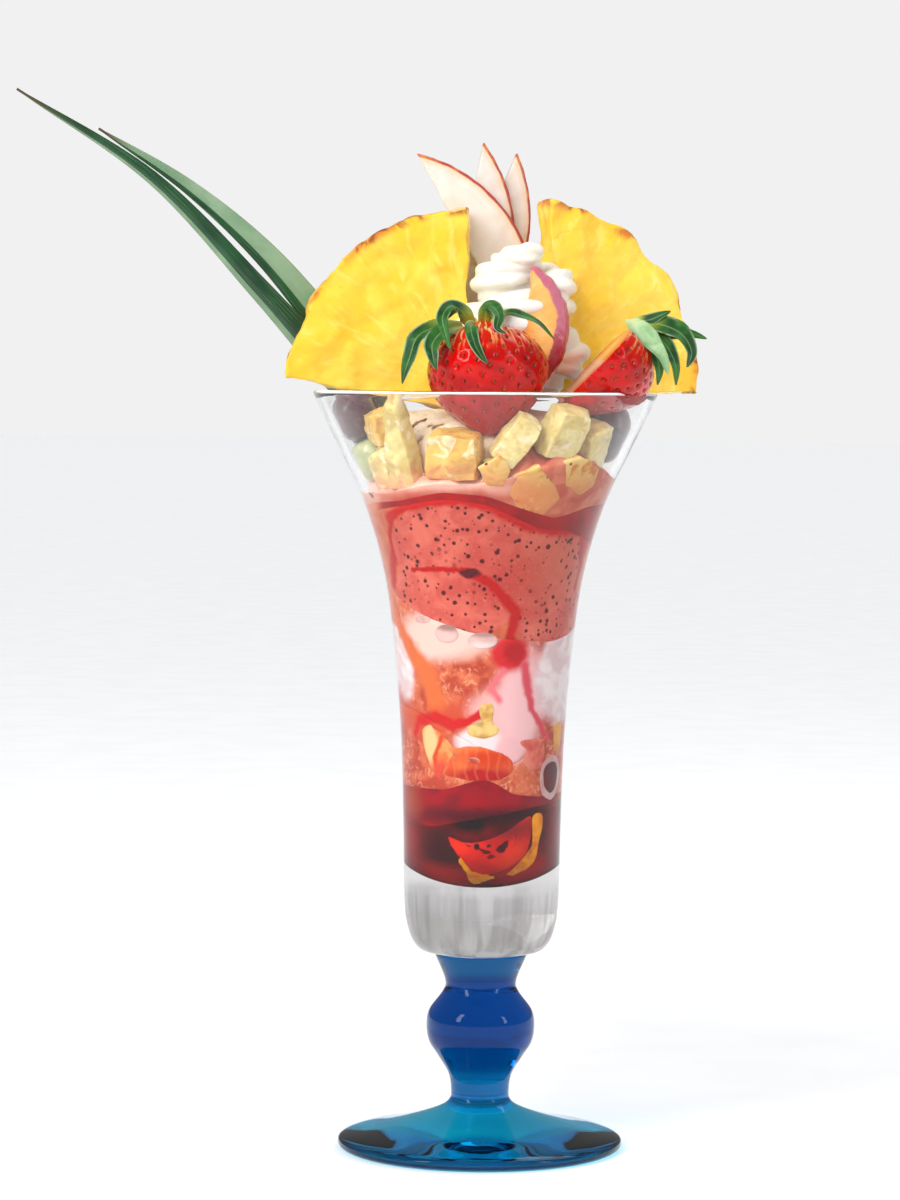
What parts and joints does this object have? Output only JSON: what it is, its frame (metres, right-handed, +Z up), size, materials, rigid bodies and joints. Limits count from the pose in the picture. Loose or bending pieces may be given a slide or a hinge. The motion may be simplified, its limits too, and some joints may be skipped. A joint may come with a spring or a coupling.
{
  "type": "fruit cup",
  "caption": "Layered fruit cup in a tall footed glass with a blue stem: jelly, cream, ice cream and cut fruit, topped with pineapple, apple, peach, strawberries, whipped cream and long leaves.",
  "frame": {"origin": "centre of the foot's flat underside, on the axis of the glass", "axes": "+Z up along the axis of the glass; -Y is the front that the picture shows, so +X is to its right and the leaves lean out to -X"},
  "size_m": [0.1834, 0.0904, 0.28],
  "materials": {
    "clear_glass": "clear polished glass",
    "blue_glass": "deep blue polished glass",
    "dark_jelly": "dark cherry jelly, wet and clear",
    "red_jelly": "red jelly, wet and clear",
    "fruit_melt": "melted ice cream with fruit juice",
    "vanilla_cream": "soft cream, smooth",
    "strawberry_ice": "strawberry ice cream, dull with dark specks",
    "red_syrup": "red fruit syrup, glossy",
    "whipped_cream": "whipped cream, soft",
    "citrus_flesh": "juicy orange flesh",
    "mango_flesh": "soft ripe flesh, moist",
    "apple_flesh": "pale cut flesh, moist",
    "melon_flesh": "pale melon flesh, moist",
    "peach_flesh": "peach flesh with red skin, moist",
    "grape_dark": "dark grape skin, glossy",
    "grape_green": "green grape skin, glossy",
    "strawberry_red": "strawberry skin, glossy with small seeds",
    "calyx_green": "green leaf, matt",
    "pineapple_flesh": "pineapple flesh, moist and fibrous",
    "apple_slice": "thin apple slice with pink skin",
    "leaf_green": "long smooth leaf, satin"
  },
  "bodies": {
    "root": {"glass_bowl": "clear_glass", "glass_stem_foot": "blue_glass", "dark_jelly": "dark_jelly", "red_jelly": "red_jelly", "fruit_melt": "fruit_melt", "vanilla_cream": "vanilla_cream", "ice_cream_lower": "strawberry_ice", "ice_cream_upper": "strawberry_ice", "red_syrup": "red_syrup", "cream_bed": "whipped_cream", "whipped_cream": "whipped_cream", "citrus_piece": "citrus_flesh", "citrus_piece_back": "citrus_flesh", "berry_piece": "strawberry_red", "grape_piece": "grape_dark", "mango_piece": "mango_flesh", "mango_piece_back": "mango_flesh", "apple_piece": "apple_flesh", "melon_wedge": "melon_flesh", "melon_chunk": "melon_flesh", "melon_chunk_right": "melon_flesh", "melon_chunk_back": "melon_flesh", "mango_chunk_left": "mango_flesh", "mango_chunk_front": "mango_flesh", "mango_chunk_right": "mango_flesh", "mango_chunk_back": "mango_flesh", "pineapple_chunk_low": "mango_flesh", "pineapple_chunk_back": "pineapple_flesh", "apple_stick_slant": "apple_flesh", "apple_chunk_low": "apple_flesh", "apple_stick_upright": "apple_flesh", "apple_stick_back": "apple_flesh", "peach_chunk_iced": "peach_flesh", "peach_slice": "peach_flesh", "grape_dark_right": "grape_dark", "grape_dark_left": "grape_dark", "grape_dark_back": "grape_dark", "grape_green_left": "grape_green", "strawberry_whole": "strawberry_red", "strawberry_half": "strawberry_red", "strawberry_whole_calyx": "calyx_green", "strawberry_half_calyx": "calyx_green", "pineapple_left": "pineapple_flesh", "pineapple_right": "pineapple_flesh", "apple_slice_1": "apple_slice", "apple_slice_2": "apple_slice", "apple_slice_3": "apple_slice", "leaf_near": "leaf_green", "leaf_far": "leaf_green"}
  },
  "joints": []
}
